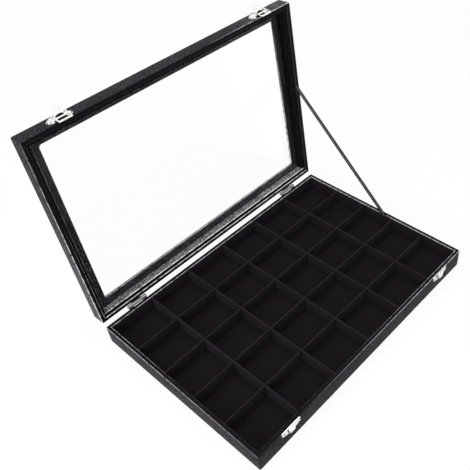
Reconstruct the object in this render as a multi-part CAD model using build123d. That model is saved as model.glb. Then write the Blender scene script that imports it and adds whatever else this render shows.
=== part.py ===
from build123d import *
import os
from math import asin, cos, degrees, radians, sin

os.makedirs("parts", exist_ok=True)

# Directions and the resting face
# Millimetres. X runs along the hinge with +X to the right of someone at the front, +Y runs to the hinge
# side and +Z up. The origin is the middle of the face that the tray stands on.

# Whole box
box_length = 350.0
box_depth = 240.0
base_height = 24.5
lid_height = 17.0
closing_gap = 0.3
lid_open_angle = 94.0

# Sheet stock
board = 4.0
leatherette = 0.5
outer_corner_radius = 1.5
rim_fold_radius = 0.45

# Tray
bottom_cover_thickness = 0.8
floor_panel_thickness = 2.5
floor_pad_thickness = 1.5
velvet_card = 0.8
liner_below_rim = 1.2
column_count = 6
row_count = 5
divider_thickness = 1.6
divider_below_rim = 1.3
divider_end_gap = 0.1
divider_slot_gap = 0.1

# Lid
front_rail_width = 18.5
side_rail_width = 19.5
window_corner_radius = 3.0
rail_thickness = 2.5
glass_thickness = 2.0
glass_edge_gap = 0.5
retainer_width = 3.7
retainer_inside_rim = 2.3
retainer_wall_gap = 0.1
window_flap_width = 11.5

# Round-headed nails
nail_radius = 0.5
nail_grip = 3.0
nail_head_radius = 1.3
nail_head_height = 0.6
nail_head_rounding = 0.45
nail_hole_gap = 0.1

# Butt hinges
hinge_centre_from_end = 46.5
hinge_length = 25.4
hinge_sheet = 0.8
hinge_leaf_height = 9.0
hinge_pin_radius = 1.0
pin_running_gap = 0.05
knuckle_wall = 1.15
knuckle_to_leaf_gap = 0.2
knuckle_gap = 0.2
outer_knuckle_length = 6.25
leaf_notch_gap = 0.55
hinge_pin_head_overlap = 0.4
hinge_pin_head_length = 0.5
hinge_nail_from_end = 4.7
hinge_nail_from_edge = 3.8

# Latch fittings, both on the lid and on the tray
latch_centre_from_end = 45.0
latch_sheet = 0.7
fitting_half_width = 13.25
fitting_vertex_radius = 1.0
fitting_nail_half_spacing = 11.0

# Latch plate on the lid, heights from the lid's rim
latch_plate_bottom = 1.6
latch_plate_foot_half_width = 9.5
latch_plate_ear_bottom = 3.5
latch_plate_ear_top = 8.5
latch_plate_shoulder_half_width = 9.5
latch_plate_shoulder_height = 11.5
latch_plate_top_half_width = 7.0
latch_plate_top = 13.5
latch_nail_height = 6.0
lug_thickness = 1.0
lug_wall = 0.8
lug_side_gap = 0.2

# Lever, lengths from the axis of its own pin
lever_axis_height = 3.6
lever_pin_radius = 0.6
lever_to_plate_gap = 0.3
barrel_wall = 0.55
small_pin_head_radius = 0.9
small_pin_head_length = 0.3
lever_barrel_half_length = 4.4
lever_sheet = 1.0
lever_plate_proud = 0.1
lever_neck_gap = 0.8
lever_shoulder_rise = 1.0
lever_shoulder_half_width = 5.2
lever_end_half_width = 5.6
lever_side_length = 10.5
lever_length = 13.0
finger_lip_depth = 1.6
finger_lip_height = 0.8
lever_rest_angle = 55.0

# Loop, lengths from the axis of its pin
loop_axis_on_lever = 4.6
loop_pin_radius = 0.55
loop_eye_wall = 0.5
loop_thickness = 0.9
loop_side_gap = 0.6
loop_arm_width = 1.4
loop_crossbar_gap = 0.5
loop_crossbar_width = 1.5
loop_bar_width = 2.0
loop_corner_radius = 1.5

# Catch plate on the tray, depths below the tray's rim
catch_top = 0.4
catch_ear_bottom = 6.5
catch_bottom = 9.5
catch_bottom_half_width = 5.0
catch_nail_depth = 4.5
hook_half_width = 4.0
hook_root_top = 2.6
hook_root_thickness = 0.8
hook_lip_thickness = 0.7
hook_lip_length = 4.6
hook_bend_radius = 0.6
loop_to_plate_gap = 0.3
loop_behind_lip_gap = 0.2
loop_before_lip_gap = 0.5
loop_to_root_gap = 0.3

# Stay ribbon on the right, its ends placed from the hinge axis and from the rims
ribbon_width = 6.0
ribbon_thickness = 0.6
ribbon_gap = 0.1
ribbon_tray_end_from_hinge = 137.0
ribbon_tray_end_below_rim = 4.1
ribbon_lid_end_from_hinge = 140.6
ribbon_lid_end_inside_rim = 3.5

# Faces that several pieces share
half_length = box_length / 2
half_depth = box_depth / 2
board_outer_x = half_length - leatherette
board_outer_y = half_depth - leatherette
board_inner_x = board_outer_x - board
board_inner_y = board_outer_y - board
liner_inner_x = board_inner_x - velvet_card
liner_inner_y = board_inner_y - velvet_card
floor_bottom = bottom_cover_thickness
floor_top = floor_bottom + floor_panel_thickness
pad_top = floor_top + floor_pad_thickness
base_board_top = base_height - leatherette
liner_top = base_height - liner_below_rim
divider_top = base_height - divider_below_rim
lid_rim = base_height + closing_gap
lid_top = lid_rim + lid_height
rail_top = lid_top - leatherette
rail_bottom = rail_top - rail_thickness
glass_top = rail_bottom - leatherette
glass_bottom = glass_top - glass_thickness
retainer_bottom = lid_rim + retainer_inside_rim
lid_inner_x = board_inner_x - leatherette
lid_inner_y = board_inner_y - leatherette
window_x = half_length - side_rail_width
window_y = half_depth - front_rail_width
rail_inner_x = window_x + leatherette
rail_inner_y = window_y + leatherette

# Fits of the hinges and latches
nail_hole_radius = nail_radius + nail_hole_gap
knuckle_radius = hinge_pin_radius + pin_running_gap + knuckle_wall
hinge_axis_behind_wall = hinge_sheet + knuckle_to_leaf_gap + knuckle_radius
hinge_axis_y = half_depth + hinge_axis_behind_wall
hinge_axis_z = base_height + closing_gap / 2
hinge_centre_x = half_length - hinge_centre_from_end
hinge_leaf_top = knuckle_radius - hinge_sheet
hinge_leaf_bottom = hinge_leaf_top + hinge_leaf_height
hinge_nail_from_axis = hinge_leaf_bottom - hinge_nail_from_edge
hinge_nail_half_spacing = hinge_length / 2 - hinge_nail_from_end
latch_centre_x = half_length - latch_centre_from_end
lever_barrel_radius = lever_pin_radius + pin_running_gap + barrel_wall
loop_barrel_radius = loop_pin_radius + pin_running_gap + barrel_wall
lever_axis_out = latch_sheet + lever_to_plate_gap + lever_barrel_radius
lever_plate_outer = lever_barrel_radius + lever_plate_proud
lug_inner = lever_barrel_half_length + lug_side_gap
lug_radius = lever_pin_radius + lug_wall
lever_neck_length = lug_radius + lever_neck_gap
loop_eye_radius = loop_pin_radius + pin_running_gap + loop_eye_wall
loop_inner_half_width = lever_end_half_width + loop_side_gap
loop_outer_half_width = loop_inner_half_width + loop_arm_width
loop_crossbar_start = loop_axis_on_lever + lug_radius + loop_crossbar_gap
loop_window_start = loop_crossbar_start + loop_crossbar_width
hook_root_bottom = hook_root_top + hook_root_thickness
loop_window_end = (lever_axis_height + loop_axis_on_lever + closing_gap
                   + hook_root_bottom + loop_to_root_gap)
loop_length = loop_window_end + loop_bar_width
loop_bar_middle = (loop_window_end + loop_length) / 2
hook_lip_inner = latch_sheet + loop_to_plate_gap + loop_thickness + loop_behind_lip_gap
hook_lip_outer = hook_lip_inner + hook_lip_thickness

# The lid is drawn closed and then opened about the hinge until the ribbon is straight.
open_lid = (Pos(0, hinge_axis_y, hinge_axis_z)
            * Rot(X=-lid_open_angle)
            * Pos(0, -hinge_axis_y, -hinge_axis_z))

sides = {"left": -1, "right": 1}
nodes = {}


def block(x_range, y_range, z_range):
    """A box between three pairs of faces."""
    centre = [sum(pair) / 2 for pair in (x_range, y_range, z_range)]
    size = [abs(pair[1] - pair[0]) for pair in (x_range, y_range, z_range)]
    return Pos(*centre) * Box(*size)


def ring(outer, inner, z_range):
    """A rectangular ring between two half sizes, drawn about the Z axis."""
    solid = block((-outer[0], outer[0]), (-outer[1], outer[1]), z_range)
    return solid - block((-inner[0], inner[0]), (-inner[1], inner[1]), z_range)


def rounded_slab(half_x, half_y, z_range, radius):
    """A flat block whose four upright edges are rounded."""
    slab = block((-half_x, half_x), (-half_y, half_y), z_range)
    return fillet(slab.edges().filter_by(Axis.Z), radius)


def rod(radius, length):
    """A round bar along X, centred on the origin."""
    return Rot(Y=90) * Cylinder(radius, length)


def mirrored_outline(right_points):
    """A face in X and Z that has the given points on its right side and their mirror on its left."""
    left_points = [(-x, z) for x, z in reversed(right_points)]
    points = right_points + left_points
    return make_face(Polyline(*points, close=True))


def front_sheet(face, near, far):
    """Extrudes a face drawn in X and Z outward from the front, between two distances from its plane."""
    return Pos(0, -near, 0) * extrude(Plane.XZ * face, far - near)


def headed_pin(radius, length, head_radius, head_length):
    """A pin along X with a round head outside each of its ends."""
    pin = rod(radius, length)
    for side in sides.values():
        pin += Pos(side * (length + head_length) / 2, 0, 0) * rod(head_radius, head_length)
    return pin


def group(solids):
    """Several separate solids that share one node."""
    return Compound(children=list(solids))


# Round-headed nails. Each stands on the face at its place and points along the place's Z axis.

def nail(sheet):
    shank_length = sheet + nail_grip
    shank = Pos(0, 0, sheet - shank_length / 2) * Cylinder(nail_radius, shank_length)
    head = Pos(0, 0, sheet + nail_head_height / 2) * Cylinder(nail_head_radius, nail_head_height)
    head = fillet(head.edges().sort_by(Axis.Z)[-1:], nail_head_rounding)
    return shank + head


def nail_hole():
    return Pos(0, 0, -nail_grip / 2) * Cylinder(nail_radius, nail_grip)


def front_places(centre_x, half_spacing, z):
    return [
        Pos(side * centre_x + offset, -half_depth, z) * Rot(X=90)
        for side in sides.values()
        for offset in (-half_spacing, half_spacing)
    ]


def rear_places(centre_x, half_spacing, z):
    return [
        Pos(side * centre_x + offset, half_depth, z) * Rot(X=-90)
        for side in sides.values()
        for offset in (-half_spacing, half_spacing)
    ]


catch_nails = front_places(latch_centre_x, fitting_nail_half_spacing, base_height - catch_nail_depth)
latch_nails = front_places(latch_centre_x, fitting_nail_half_spacing, lid_rim + latch_nail_height)
case_hinge_nails = rear_places(hinge_centre_x, hinge_nail_half_spacing, hinge_axis_z - hinge_nail_from_axis)
lid_hinge_nails = rear_places(hinge_centre_x, hinge_nail_half_spacing, hinge_axis_z + hinge_nail_from_axis)


def pierced(solid, places):
    """A board or skin with the nails' own holes in it."""
    for place in places:
        solid -= place * nail_hole()
    return solid


def drilled(plate, half_spacing, y, z):
    """An upright plate with two nail holes through it."""
    for side in sides.values():
        hole = Cylinder(nail_hole_radius, 2 * nail_grip)
        plate -= Pos(side * half_spacing, y, z) * Rot(X=90) * hole
    return plate


# Stay ribbon: straight between a point inside the tray and a point inside the open lid

ribbon_x = board_inner_x - ribbon_gap - ribbon_thickness / 2
ribbon_tray_end = Vector(
    ribbon_x, hinge_axis_y - ribbon_tray_end_from_hinge, base_height - ribbon_tray_end_below_rim)
ribbon_lid_end = (open_lid * Pos(
    ribbon_x, hinge_axis_y - ribbon_lid_end_from_hinge, lid_rim + ribbon_lid_end_inside_rim)).position


def ribbon_bar(grow):
    run = ribbon_lid_end - ribbon_tray_end
    slope = degrees(asin(run.Z / run.length))
    middle = (ribbon_lid_end + ribbon_tray_end) / 2
    bar = Box(ribbon_thickness + 2 * grow, run.length + 2 * grow, ribbon_width + 2 * grow)
    return Pos(*middle) * Rot(X=slope) * bar


nodes["stay_ribbon"] = ribbon_bar(0)
ribbon_slot = ribbon_bar(ribbon_gap)


# Tray shell

def four_walls(prefix, z_range, front_nails, rear_nails):
    """Front and rear boards run the full length, the side boards fit between them."""
    long_x = (-board_outer_x, board_outer_x)
    short_y = (-board_inner_y, board_inner_y)
    front = block(long_x, (-board_outer_y, -board_inner_y), z_range)
    rear = block(long_x, (board_inner_y, board_outer_y), z_range)
    return {
        prefix + "_front_wall": pierced(front, front_nails),
        prefix + "_rear_wall": pierced(rear, rear_nails),
        prefix + "_left_wall": block((-board_outer_x, -board_inner_x), short_y, z_range),
        prefix + "_right_wall": block((board_inner_x, board_outer_x), short_y, z_range),
    }


nodes.update(four_walls("base", (floor_bottom, base_board_top), catch_nails, case_hinge_nails))
nodes["base_bottom_cover"] = rounded_slab(half_length, half_depth, (0, floor_bottom), outer_corner_radius)
nodes["base_floor_panel"] = block(
    (-board_inner_x, board_inner_x), (-board_inner_y, board_inner_y), (floor_bottom, floor_top))


def base_wrap():
    """Leatherette on the outside of the boards, folded over their top edge."""
    skin = rounded_slab(half_length, half_depth, (floor_bottom, base_height), outer_corner_radius)
    rim_edges = skin.faces().sort_by(Axis.Z)[-1].edges()
    skin = fillet(rim_edges, rim_fold_radius)
    skin -= block((-board_outer_x, board_outer_x), (-board_outer_y, board_outer_y),
                  (floor_bottom, base_board_top))
    skin -= block((-board_inner_x, board_inner_x), (-board_inner_y, board_inner_y),
                  (base_board_top, base_height))
    return pierced(skin, catch_nails + case_hinge_nails)


nodes["base_leatherette_wrap"] = base_wrap()


# Tray lining

liner_z = (floor_top, liner_top)
liner_long_x = (-board_inner_x, board_inner_x)
liner_short_y = (-liner_inner_y, liner_inner_y)
nodes["front_velvet_liner"] = block(liner_long_x, (-board_inner_y, -liner_inner_y), liner_z)
nodes["rear_velvet_liner"] = block(liner_long_x, (liner_inner_y, board_inner_y), liner_z)
nodes["left_velvet_liner"] = block((-board_inner_x, -liner_inner_x), liner_short_y, liner_z)
nodes["right_velvet_liner"] = block((liner_inner_x, board_inner_x), liner_short_y, liner_z) - ribbon_slot
nodes["velvet_floor_pad"] = block(
    (-liner_inner_x, liner_inner_x), (-liner_inner_y, liner_inner_y), (floor_top, pad_top))


# Dividers: card strips with half-height slots that lock into a grid

column_pitch = 2 * liner_inner_x / column_count
row_pitch = 2 * liner_inner_y / row_count
column_lines = [-liner_inner_x + column_pitch * index for index in range(1, column_count)]
row_lines = [-liner_inner_y + row_pitch * index for index in range(1, row_count)]
slot_middle = (pad_top + divider_top) / 2


def divider(half_run, crossings, slot_z):
    """A strip along X that is slotted where the strips of the other direction cross it."""
    half_run -= divider_end_gap
    half_card = divider_thickness / 2
    half_slot = half_card + divider_slot_gap
    strip = block((-half_run, half_run), (-half_card, half_card), (pad_top, divider_top))
    for x in crossings:
        strip -= block((x - half_slot, x + half_slot), (-half_card, half_card), slot_z)
    return strip


for index, y in enumerate(row_lines, start=1):
    strip = divider(liner_inner_x, column_lines, (pad_top, slot_middle + divider_slot_gap))
    nodes[f"long_divider_{index}"] = Pos(0, y, 0) * strip

for index, x in enumerate(column_lines, start=1):
    strip = divider(liner_inner_y, row_lines, (slot_middle, divider_top))
    nodes[f"cross_divider_{index}"] = Pos(x, 0, 0) * Rot(Z=90) * strip


# Catch plate with its hook, drawn about the middle of the tray's rim at the front

def catch_plate():
    outline = mirrored_outline([
        (fitting_half_width, -catch_top),
        (fitting_half_width, -catch_ear_bottom),
        (catch_bottom_half_width, -catch_bottom),
    ])
    outline = fillet(outline.vertices(), fitting_vertex_radius)
    plate = front_sheet(outline, 0, latch_sheet)
    width = (-hook_half_width, hook_half_width)
    lip_bottom = hook_root_bottom + hook_lip_length
    hook = block(width, (-hook_lip_outer, 0), (-hook_root_bottom, -hook_root_top))
    hook += block(width, (-hook_lip_outer, -hook_lip_inner), (-lip_bottom, -hook_root_top))
    bend = hook.edges().filter_by(Axis.X).sort_by(Axis.Y)[:2].sort_by(Axis.Z)[-1:]
    hook = fillet(bend, hook_bend_radius)
    plate += hook
    return drilled(plate, fitting_nail_half_spacing, 0, -catch_nail_depth)


for side_name, side in sides.items():
    nodes[side_name + "_catch_plate"] = (
        Pos(side * latch_centre_x, -half_depth, base_height) * catch_plate())
nodes["catch_brads"] = group(place * nail(latch_sheet) for place in catch_nails)


# Lid frame, drawn closed

nodes_on_lid = {}
nodes_on_lid.update(four_walls(
    "lid", (lid_rim + leatherette, rail_bottom), latch_nails, lid_hinge_nails))

rail_z = (rail_bottom, rail_top)
rail_long_x = (-board_outer_x, board_outer_x)
rail_short_y = (-rail_inner_y, rail_inner_y)
nodes_on_lid["lid_front_rail"] = block(rail_long_x, (-board_outer_y, -rail_inner_y), rail_z)
nodes_on_lid["lid_rear_rail"] = block(rail_long_x, (rail_inner_y, board_outer_y), rail_z)
nodes_on_lid["lid_left_rail"] = block((-board_outer_x, -rail_inner_x), rail_short_y, rail_z)
nodes_on_lid["lid_right_rail"] = block((rail_inner_x, board_outer_x), rail_short_y, rail_z)


def lid_wrap():
    """Leatherette outside, folded in at the rim, round the window's edge and under its rails."""
    skin = rounded_slab(half_length, half_depth, (lid_rim, lid_top), outer_corner_radius)
    rim_edges = skin.faces().sort_by(Axis.Z)[0].edges()
    top_edges = skin.faces().sort_by(Axis.Z)[-1].edges()
    skin = fillet(rim_edges + top_edges, rim_fold_radius)
    skin -= block((-board_outer_x, board_outer_x), (-board_outer_y, board_outer_y),
                  (lid_rim + leatherette, rail_top))
    skin -= block((-lid_inner_x, lid_inner_x), (-lid_inner_y, lid_inner_y),
                  (lid_rim, lid_rim + leatherette))
    skin += ring((board_inner_x, board_inner_y), (lid_inner_x, lid_inner_y), (lid_rim, retainer_bottom))
    flap_half = (window_x + window_flap_width, window_y + window_flap_width)
    skin += block((-rail_inner_x, rail_inner_x), (-rail_inner_y, rail_inner_y), (glass_top, rail_top))
    skin += block((-flap_half[0], flap_half[0]), (-flap_half[1], flap_half[1]), (glass_top, rail_bottom))
    skin -= rounded_slab(window_x, window_y, (glass_top, lid_top), window_corner_radius)
    return pierced(skin, latch_nails + lid_hinge_nails)


nodes_on_lid["lid_leatherette_wrap"] = lid_wrap()
nodes_on_lid["glass_pane"] = block(
    (-board_inner_x + glass_edge_gap, board_inner_x - glass_edge_gap),
    (-board_inner_y + glass_edge_gap, board_inner_y - glass_edge_gap),
    (glass_bottom, glass_top))

retainer_z = (retainer_bottom, glass_bottom)
retainer_outer_x = board_inner_x - retainer_wall_gap
retainer_outer_y = board_inner_y - retainer_wall_gap
retainer_inner_x = lid_inner_x - retainer_width
retainer_inner_y = lid_inner_y - retainer_width
retainer_long_x = (-retainer_outer_x, retainer_outer_x)
retainer_short_y = (-retainer_inner_y, retainer_inner_y)
nodes_on_lid["front_glass_retainer"] = block(
    retainer_long_x, (-retainer_outer_y, -retainer_inner_y), retainer_z)
nodes_on_lid["rear_glass_retainer"] = block(
    retainer_long_x, (retainer_inner_y, retainer_outer_y), retainer_z)
nodes_on_lid["left_glass_retainer"] = block(
    (-retainer_outer_x, -retainer_inner_x), retainer_short_y, retainer_z)
nodes_on_lid["right_glass_retainer"] = block(
    (retainer_inner_x, retainer_outer_x), retainer_short_y, retainer_z)


# Butt hinges, drawn about the hinge axis

hinge_end = hinge_length / 2


def hinge_leaf(knuckles, bore_radius):
    """A leaf that hangs below the axis, with a cranked web to each of its knuckles."""
    leaf_y = (-hinge_axis_behind_wall, -hinge_axis_behind_wall + hinge_sheet)
    leaf = block((-hinge_end, hinge_end), leaf_y, (-hinge_leaf_bottom, -knuckle_radius - leaf_notch_gap))
    for knuckle_x in knuckles:
        leaf += block(knuckle_x, leaf_y, (-hinge_leaf_bottom, -hinge_leaf_top))
        leaf += block(knuckle_x, (-hinge_axis_behind_wall, 0), (-knuckle_radius, -hinge_leaf_top))
        leaf += Pos(sum(knuckle_x) / 2, 0, 0) * rod(knuckle_radius, knuckle_x[1] - knuckle_x[0])
    leaf -= rod(bore_radius, hinge_length)
    return drilled(leaf, hinge_nail_half_spacing, -hinge_axis_behind_wall, -hinge_nail_from_axis)


outer_knuckle_start = hinge_end - outer_knuckle_length
middle_knuckle_end = outer_knuckle_start - knuckle_gap
case_knuckles = [(-hinge_end, -outer_knuckle_start), (outer_knuckle_start, hinge_end)]
lid_knuckles = [(-middle_knuckle_end, middle_knuckle_end)]
hinge_places = {name: Pos(side * hinge_centre_x, hinge_axis_y, hinge_axis_z) for name, side in sides.items()}

for side_name, place in hinge_places.items():
    case_leaf = hinge_leaf(case_knuckles, hinge_pin_radius)
    lid_leaf = mirror(hinge_leaf(lid_knuckles, hinge_pin_radius + pin_running_gap), about=Plane.XY)
    nodes[side_name + "_hinge_case_leaf"] = place * case_leaf
    nodes_on_lid[side_name + "_hinge_lid_leaf"] = place * lid_leaf
hinge_pin = headed_pin(hinge_pin_radius, hinge_length,
                       hinge_pin_radius + hinge_pin_head_overlap, hinge_pin_head_length)
nodes["hinge_pins"] = group(place * hinge_pin for place in hinge_places.values())
nodes["hinge_case_brads"] = group(place * nail(hinge_sheet) for place in case_hinge_nails)
nodes_on_lid["hinge_lid_brads"] = group(place * nail(hinge_sheet) for place in lid_hinge_nails)


# Draw latches, drawn about the middle of the lid's rim at the front, outward being -Y

def latch_plate():
    outline = mirrored_outline([
        (latch_plate_foot_half_width, latch_plate_bottom),
        (fitting_half_width, latch_plate_ear_bottom),
        (fitting_half_width, latch_plate_ear_top),
        (latch_plate_shoulder_half_width, latch_plate_shoulder_height),
        (latch_plate_top_half_width, latch_plate_top),
    ])
    outline = fillet(outline.vertices(), fitting_vertex_radius)
    plate = front_sheet(outline, 0, latch_sheet)
    for side in sides.values():
        lug_x = (side * lug_inner, side * (lug_inner + lug_thickness))
        plate += block(lug_x, (-lever_axis_out, 0),
                       (lever_axis_height - lug_radius, lever_axis_height + lug_radius))
        plate += (Pos(sum(lug_x) / 2, -lever_axis_out, lever_axis_height)
                  * rod(lug_radius, lug_thickness))
    plate -= Pos(0, -lever_axis_out, lever_axis_height) * rod(lever_pin_radius, 2 * fitting_half_width)
    return drilled(plate, fitting_nail_half_spacing, 0, latch_nail_height)


def lever():
    """The lever shut, standing up from its own axis against the lid."""
    right_points = [
        (lever_barrel_half_length, 0),
        (lever_barrel_half_length, lever_neck_length),
        (lever_shoulder_half_width, lever_neck_length + lever_shoulder_rise),
        (lever_end_half_width, lever_side_length),
    ]
    left_points = [(-x, z) for x, z in right_points]
    tip = ThreePointArc(right_points[-1], (0, lever_length), left_points[-1])
    right_side = Polyline(*right_points)
    left_side = Polyline(*reversed(left_points))
    root = Line(left_points[0], right_points[0])
    outline = make_face([right_side, tip, left_side, root])
    lip_outer = lever_plate_outer + finger_lip_height
    solid = front_sheet(outline, lever_plate_outer - lever_sheet, lever_plate_outer)
    lip = front_sheet(outline, lever_plate_outer, lip_outer)
    lip &= block((-lever_end_half_width, lever_end_half_width), (-lip_outer, -lever_plate_outer),
                 (lever_length - finger_lip_depth, lever_length))
    solid += lip
    solid += rod(lever_barrel_radius, 2 * lever_barrel_half_length)
    solid += Pos(0, 0, loop_axis_on_lever) * rod(loop_barrel_radius, 2 * lever_shoulder_half_width)
    solid -= rod(lever_pin_radius + pin_running_gap, 2 * fitting_half_width)
    solid -= (Pos(0, 0, loop_axis_on_lever)
              * rod(loop_pin_radius + pin_running_gap, 2 * fitting_half_width))
    return solid


def loop():
    """The loop hanging straight down from the axis of its pin."""
    half_sheet = loop_thickness / 2
    whole_y = (-half_sheet, half_sheet)
    body = block((-loop_outer_half_width, loop_outer_half_width), whole_y, (-loop_length, 0))
    lower_corners = body.edges().filter_by(Axis.Y).sort_by(Axis.Z)[:2]
    body = fillet(lower_corners, loop_corner_radius)
    inner_x = (-loop_inner_half_width, loop_inner_half_width)
    body -= block(inner_x, whole_y, (-loop_crossbar_start, 0))
    body -= block(inner_x, whole_y, (-loop_window_end, -loop_window_start))
    eye_length = loop_outer_half_width - loop_inner_half_width
    for side in sides.values():
        x = side * (loop_inner_half_width + eye_length / 2)
        body += Pos(x, 0, 0) * rod(loop_eye_radius, eye_length)
    body -= rod(loop_pin_radius + pin_running_gap, 2 * fitting_half_width)
    return body


# At rest the loop's bar hangs just outside the hook's lip, so that the lid can close past it.
resting_bar_out = hook_lip_outer + loop_before_lip_gap + loop_thickness / 2
loop_axis_out = lever_axis_out + loop_axis_on_lever * sin(radians(lever_rest_angle))
loop_axis_height = lever_axis_height + loop_axis_on_lever * cos(radians(lever_rest_angle))
loop_rest_angle = degrees(asin((loop_axis_out - resting_bar_out) / loop_bar_middle))

# Latched, the bar is in the hook's throat.
latched_bar_out = latch_sheet + loop_to_plate_gap + loop_thickness / 2
loop_latched_angle = degrees(asin((lever_axis_out - latched_bar_out) / loop_bar_middle))

lever_pin = headed_pin(lever_pin_radius, 2 * (lug_inner + lug_thickness),
                       small_pin_head_radius, small_pin_head_length)
loop_pin = headed_pin(loop_pin_radius, 2 * loop_outer_half_width,
                      small_pin_head_radius, small_pin_head_length)
lever_axes = []
for side_name, side in sides.items():
    place = Pos(side * latch_centre_x, -half_depth, lid_rim)
    lever_axis = place * Pos(0, -lever_axis_out, lever_axis_height)
    loop_axis = place * Pos(0, -loop_axis_out, loop_axis_height)
    lever_axes.append(lever_axis)
    nodes_on_lid[side_name + "_latch_plate"] = place * latch_plate()
    nodes_on_lid[side_name + "_latch_lever"] = lever_axis * Rot(X=lever_rest_angle) * lever()
    nodes_on_lid[side_name + "_latch_loop_pin"] = loop_axis * loop_pin
    nodes_on_lid[side_name + "_latch_loop"] = loop_axis * Rot(X=loop_rest_angle) * loop()
nodes_on_lid["latch_brads"] = group(place * nail(latch_sheet) for place in latch_nails)
nodes_on_lid["latch_lever_pins"] = group(place * lever_pin for place in lever_axes)


# Open the lid, slot its lining and its right strip for the ribbon and write the pieces

for name, shape in nodes_on_lid.items():
    nodes[name] = open_lid * shape
for name in ("lid_leatherette_wrap", "right_glass_retainer"):
    nodes[name] -= ribbon_slot

for name, shape in nodes.items():
    export_step(shape, f"parts/{name}.step")

axis_points = {
    "lid_hinge": Vector(0, hinge_axis_y, hinge_axis_z),
    "lever": (open_lid * Pos(0, -half_depth - lever_axis_out, lid_rim + lever_axis_height)).position,
    "loop": (open_lid * Pos(0, -half_depth - loop_axis_out, lid_rim + loop_axis_height)).position,
}
for name, point in axis_points.items():
    print(f"{name} axis at y {point.Y:.4f}, z {point.Z:.4f}")
print(f"loop at rest {loop_rest_angle:.3f} degrees, latched {loop_latched_angle:.3f} degrees")
print(len(nodes), "nodes")
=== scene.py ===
from math import cos, pi, radians, sin

import bpy
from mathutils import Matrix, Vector


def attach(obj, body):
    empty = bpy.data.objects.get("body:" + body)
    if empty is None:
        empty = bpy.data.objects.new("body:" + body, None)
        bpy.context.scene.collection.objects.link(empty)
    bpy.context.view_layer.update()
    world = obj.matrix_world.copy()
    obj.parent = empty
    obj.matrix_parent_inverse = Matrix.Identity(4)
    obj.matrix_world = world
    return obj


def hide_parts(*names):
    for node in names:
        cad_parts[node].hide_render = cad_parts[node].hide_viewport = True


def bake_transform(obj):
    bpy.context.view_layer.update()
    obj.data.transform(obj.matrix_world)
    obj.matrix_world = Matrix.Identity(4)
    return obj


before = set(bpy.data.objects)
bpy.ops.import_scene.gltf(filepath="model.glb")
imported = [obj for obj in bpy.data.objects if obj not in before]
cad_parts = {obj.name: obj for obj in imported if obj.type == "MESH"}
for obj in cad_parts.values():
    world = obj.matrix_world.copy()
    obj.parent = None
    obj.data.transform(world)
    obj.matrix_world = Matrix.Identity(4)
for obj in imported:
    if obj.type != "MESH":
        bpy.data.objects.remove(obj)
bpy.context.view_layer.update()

# Lengths are in millimetres and become metres where a piece is made. The frame is the CAD's: X along the
# hinge, Y to the hinge side, Z up, with the origin in the middle of the face that the tray stands on.
MM = 0.001

# Whole box and its sheet stock, with the part's own sizes
half_length = 175.0
half_depth = 120.0
base_height = 24.5
closing_gap = 0.3
lid_height = 17.0
lid_open_angle = 94.0
board = 4.0
leatherette = 0.5
velvet_card = 0.8

# Tray
bottom_cover_thickness = 0.8
floor_panel_thickness = 2.5
floor_pad_thickness = 1.5
liner_below_rim = 1.2
divider_below_rim = 1.3
divider_thickness = 1.6
divider_slot_gap = 0.1
column_count = 6
row_count = 5
floor_top = bottom_cover_thickness + floor_panel_thickness
pad_top = floor_top + floor_pad_thickness
liner_top = base_height - liner_below_rim
divider_top = base_height - divider_below_rim
board_inner_x = half_length - leatherette - board
board_inner_y = half_depth - leatherette - board
liner_inner_x = board_inner_x - velvet_card
liner_inner_y = board_inner_y - velvet_card
column_pitch = 2 * liner_inner_x / column_count
row_pitch = 2 * liner_inner_y / row_count

# Lid, drawn closed
side_rail_width = 19.5
front_rail_width = 18.5
rail_thickness = 2.5
glass_thickness = 2.0
retainer_width = 3.7
retainer_inside_rim = 2.3
hinge_axis_behind_tray = 3.2
lid_rim = base_height + closing_gap
lid_top = lid_rim + lid_height
glass_top = lid_top - rail_thickness - 2 * leatherette
glass_bottom = glass_top - glass_thickness
retainer_bottom = lid_rim + retainer_inside_rim
lid_inner_x = board_inner_x - leatherette
lid_inner_y = board_inner_y - leatherette
window_x = half_length - side_rail_width
window_y = half_depth - front_rail_width
hinge_axis = (0.0, half_depth + hinge_axis_behind_tray, base_height + closing_gap / 2)

# Latches
latch_centre_from_end = 45.0
latch_nail_half_spacing = 11.0
latch_centre_x = half_length - latch_centre_from_end

# Stay ribbon, from the tray's side wall to the open lid's
ribbon_width = 6.0
ribbon_thickness = 0.35
ribbon_tray_end = (170.1, -13.8, 20.4)
ribbon_lid_end = (170.1, 136.65, 164.65)


# Colours and materials

def colour(hex_code):
    """An sRGB hex value as linear red, green and blue, with full alpha."""
    channels = [int(hex_code[start:start + 2], 16) / 255 for start in (0, 2, 4)]
    linear = [c / 12.92 if c <= 0.04045 else ((c + 0.055) / 1.055) ** 2.4 for c in channels]
    return (*linear, 1.0)


def add_node(tree, kind, inputs=None, **settings):
    """Adds a node. Its inputs are given by name or number, as a value or as another node's output."""
    made = tree.nodes.new(kind)
    for name, value in settings.items():
        setattr(made, name, value)
    for socket, value in (inputs or {}).items():
        if isinstance(value, bpy.types.NodeSocket):
            tree.links.new(value, made.inputs[socket])
        else:
            made.inputs[socket].default_value = value
    return made


def new_material(name):
    """An empty node material, its output node and its object coordinates."""
    material = bpy.data.materials.new(name)
    material.use_nodes = True
    tree = material.node_tree
    tree.nodes.clear()
    output = tree.nodes.new("ShaderNodeOutputMaterial")
    place = tree.nodes.new("ShaderNodeTexCoord").outputs["Object"]
    return material, tree, output, place


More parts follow.
